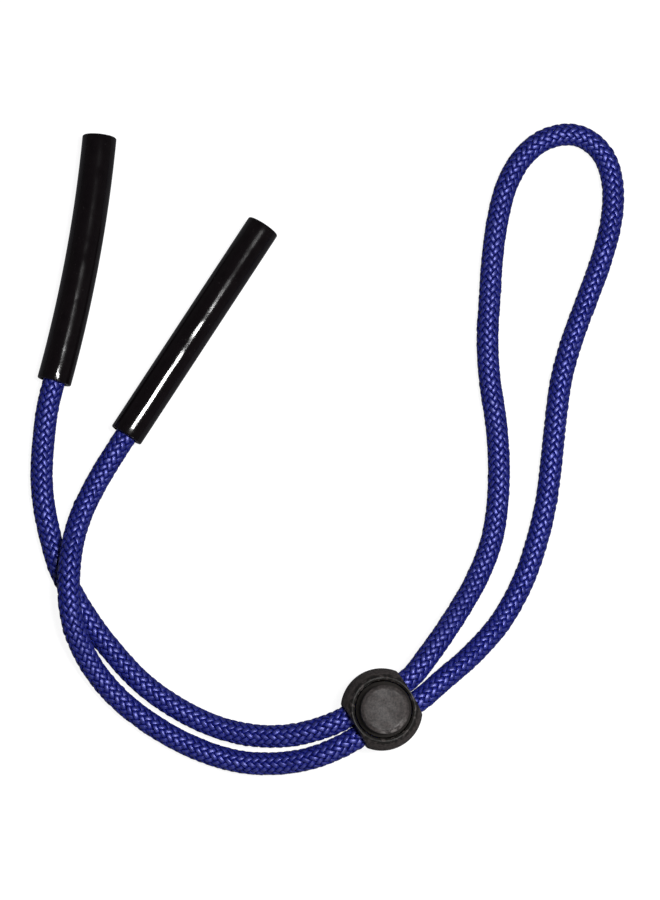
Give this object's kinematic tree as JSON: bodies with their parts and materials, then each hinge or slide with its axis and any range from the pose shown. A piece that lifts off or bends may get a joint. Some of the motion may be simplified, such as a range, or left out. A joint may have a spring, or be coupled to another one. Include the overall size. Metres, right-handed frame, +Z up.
{
  "type": "eyewear retainer strap",
  "caption": "Braided eyewear retainer cord with soft temple sleeves on its ends, doubled through a ball-shaped spring cord lock that slides along it.",
  "frame": {"origin": "centre of the toggle's flat base, on the surface that the strap lies on", "axes": "+Z up out of the button, +Y from the toggle towards the sleeves' open ends and the far end of the loop"},
  "size_m": [0.1432, 0.1571, 0.0202],
  "materials": {
    "cord_braid": "royal blue multifilament yarn, 2 over 2 under round braid, slight sheen",
    "cord_core": "undyed filler yarns",
    "fused_cord": "melted and hardened cord end",
    "sleeve": "smooth glossy near-black soft tube",
    "bond": "cured black adhesive",
    "toggle_body": "fine moulded grain, charcoal",
    "toggle_button": "smoother moulded plastic, dark grey, edge slightly worn",
    "spring_steel": "drawn spring wire"
  },
  "bodies": {
    "strap": {"left_tail_sheath": "cord_braid", "left_tail_core": "cord_core", "loop_sheath": "cord_braid", "loop_core": "cord_core", "right_tail_sheath": "cord_braid", "right_tail_core": "cord_core", "left_fused_tip": "fused_cord", "right_fused_tip": "fused_cord", "left_bond": "bond", "right_bond": "bond", "left_sleeve": "sleeve", "right_sleeve": "sleeve"},
    "toggle": {"toggle_body": "toggle_body", "toggle_spring": "spring_steel"},
    "button": {"toggle_button": "toggle_button"}
  },
  "joints": [
    {"name": "toggle_slide", "type": "slide", "parent": "strap", "child": "toggle", "axis": [0.859, 0.512, 0], "range_m": [-0.012, 0.012], "deforming": ["left_tail_sheath", "left_tail_core", "loop_sheath", "loop_core", "right_tail_sheath", "right_tail_core"]},
    {"name": "button_press", "type": "slide", "parent": "toggle", "child": "button", "axis": [0, 0, -1], "range_m": [0, 0.0024], "stiffness_N_per_m": 800, "springref_m": -0.004, "deforming": ["toggle_spring"]}
  ]
}
